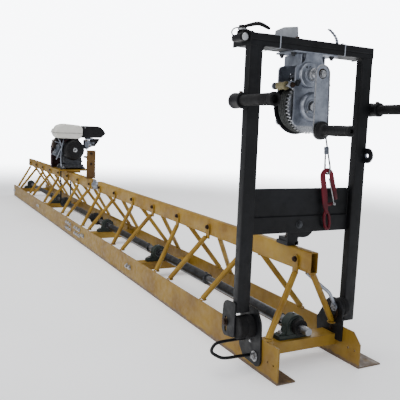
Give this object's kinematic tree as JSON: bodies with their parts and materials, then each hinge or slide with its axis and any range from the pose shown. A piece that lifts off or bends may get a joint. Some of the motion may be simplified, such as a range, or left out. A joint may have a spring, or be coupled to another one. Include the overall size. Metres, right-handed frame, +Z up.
{
  "type": "power screed",
  "caption": "Truss power screed with angle-iron blades, an engine-driven eccentric shaft and a black winch frame with hook, crank and lifting handles at one end.",
  "frame": {"origin": "middle of the whole length and width, on the plane of the blade soles", "axes": "+X along the truss to the winch end, +Y across it to the rear, wider-flanged blade, +Z up"},
  "size_m": [4.636, 0.599, 1.05],
  "materials": {
    "yellow_paint": "worn mustard enamel",
    "black_paint": "satin black powder coat",
    "zinc_plate": "bright zinc plate",
    "shaft_steel": "oiled dark steel",
    "black_rubber": "matt rubber",
    "black_plastic": "fine textured plastic",
    "cast_alloy": "raw die casting",
    "tank_paint": "off-white gloss",
    "cast_iron": "painted grey-green casting",
    "hook_red": "gloss crimson enamel",
    "wire_rope": "stranded galvanised wire",
    "roller_nylon": "aged olive nylon",
    "muffler_steel": "heat-tinted steel"
  },
  "bodies": {
    "truss_frame": {"near_truss": "yellow_paint", "far_truss": "yellow_paint", "front_blade_near": "yellow_paint", "rear_blade_near": "yellow_paint", "front_blade_far": "yellow_paint", "rear_blade_far": "yellow_paint", "cross_member_1": "yellow_paint", "pillow_block_1": "cast_iron", "cross_member_2": "yellow_paint", "pillow_block_2": "cast_iron", "cross_member_3": "yellow_paint", "pillow_block_3": "cast_iron", "cross_member_4": "yellow_paint", "pillow_block_4": "cast_iron", "cross_member_5": "yellow_paint", "pillow_block_5": "cast_iron", "engine_crankcase": "cast_alloy", "engine_cylinder": "cast_alloy", "recoil_cover": "black_plastic", "fuel_tank": "tank_paint", "air_cleaner": "black_plastic", "carburettor": "cast_alloy", "muffler": "muffler_steel", "drive_belt": "black_rubber", "belt_guard": "black_plastic", "engine_platform": "yellow_paint", "engine_post": "yellow_paint", "left_post": "black_paint", "right_post": "black_paint", "top_bar": "black_paint", "cross_plate": "black_paint", "chord_mount": "black_paint", "left_outer_bracket": "black_paint", "left_rubber_mount": "black_rubber", "left_inner_bracket": "black_paint", "right_bracket": "black_paint", "right_rubber_mount": "black_rubber", "right_stay": "zinc_plate", "winch_body": "zinc_plate", "winch_rope": "wire_rope", "throttle_clamp": "zinc_plate"},
    "turnbuckle_body": {"turnbuckle": "zinc_plate"},
    "vibrator_shaft": {"near_eccentric_shaft": "shaft_steel", "far_eccentric_shaft": "shaft_steel", "shaft_coupling": "black_rubber", "shaft_pulley": "shaft_steel"},
    "engine_output": {"engine_pulley": "shaft_steel"},
    "starter_grip": {"recoil_grip": "black_plastic"},
    "tank_cap": {"fuel_cap": "black_plastic"},
    "choke": {"choke_lever": "black_plastic"},
    "winch_drum_body": {"winch_drum": "zinc_plate", "rope_winding": "wire_rope"},
    "winch_crank_body": {"winch_crank": "zinc_plate"},
    "crank_knob": {"crank_grip": "black_plastic"},
    "roller": {"rope_roller": "roller_nylon"},
    "left_lift_handle": {"left_handle": "black_rubber"},
    "right_lift_handle": {"right_handle": "black_rubber"},
    "throttle": {"throttle_lever": "black_plastic"},
    "hook": {"winch_hook": "hook_red"},
    "latch": {"hook_latch": "zinc_plate"}
  },
  "joints": [
    {"name": "turnbuckle_turn", "type": "hinge", "parent": "truss_frame", "child": "turnbuckle_body", "pos_m": [-0.032, 0, 0.339], "axis": [1, 0, 0], "continuous": true},
    {"name": "vibrator_spin", "type": "hinge", "parent": "truss_frame", "child": "vibrator_shaft", "pos_m": [-0.052, 0, 0.12], "axis": [1, 0, 0], "continuous": true},
    {"name": "engine_output_spin", "type": "hinge", "parent": "truss_frame", "child": "engine_output", "pos_m": [-0.854, 0, 0.543], "axis": [1, 0, 0], "continuous": true},
    {"name": "starter_pull", "type": "slide", "parent": "truss_frame", "child": "starter_grip", "axis": [0, 1, 0], "range_m": [0, 0.35], "stiffness_N_per_m": 20},
    {"name": "fuel_cap_turn", "type": "hinge", "parent": "truss_frame", "child": "tank_cap", "pos_m": [-0.692, -0.06, 0.72], "axis": [0, 0, 1], "continuous": true},
    {"name": "choke_turn", "type": "hinge", "parent": "truss_frame", "child": "choke", "pos_m": [-0.622, 0.136, 0.608], "axis": [1, 0, 0], "range_deg": [-50, 0]},
    {"name": "drum_spin", "type": "hinge", "parent": "truss_frame", "child": "winch_drum_body", "pos_m": [2.068, 0.014, 0.811], "axis": [1, 0, 0], "continuous": true},
    {"name": "crank_spin", "type": "hinge", "parent": "truss_frame", "child": "winch_crank_body", "pos_m": [2.168, -0.004, 0.905], "axis": [1, 0, 0], "continuous": true},
    {"name": "crank_grip_spin", "type": "hinge", "parent": "winch_crank_body", "child": "crank_knob", "pos_m": [2.248, 0.00032, 0.74006], "axis": [1, 0, 0], "continuous": true},
    {"name": "rope_roller_spin", "type": "hinge", "parent": "truss_frame", "child": "roller", "pos_m": [2.068, -0.062, 0.872], "axis": [1, 0, 0], "continuous": true},
    {"name": "left_handle_slide", "type": "slide", "parent": "truss_frame", "child": "left_lift_handle", "axis": [1, 0, 0], "range_m": [-0.06, 0.015]},
    {"name": "right_handle_slide", "type": "slide", "parent": "truss_frame", "child": "right_lift_handle", "axis": [1, 0, 0], "range_m": [-0.06, 0.015]},
    {"name": "throttle_turn", "type": "hinge", "parent": "truss_frame", "child": "throttle", "pos_m": [2.086, -0.226, 1.03], "axis": [0, 0, 1], "range_deg": [-50, 15]},
    {"name": "hook_swing", "type": "hinge", "parent": "truss_frame", "child": "hook", "pos_m": [2.112, 0.0975, 0.598], "axis": [1, 0, 0], "range_deg": [-25, 18]},
    {"name": "hook_latch_turn", "type": "hinge", "parent": "hook", "child": "latch", "pos_m": [2.121, 0.1276, 0.5079], "axis": [1, 0, 0], "range_deg": [0, 15], "stiffness_Nm_per_rad": 0.05}
  ],
  "couplings": [
    {"joint": "engine_output_spin", "follows": "vibrator_spin", "ratio": 0.9091},
    {"joint": "crank_spin", "follows": "drum_spin", "ratio": -3.75}
  ]
}
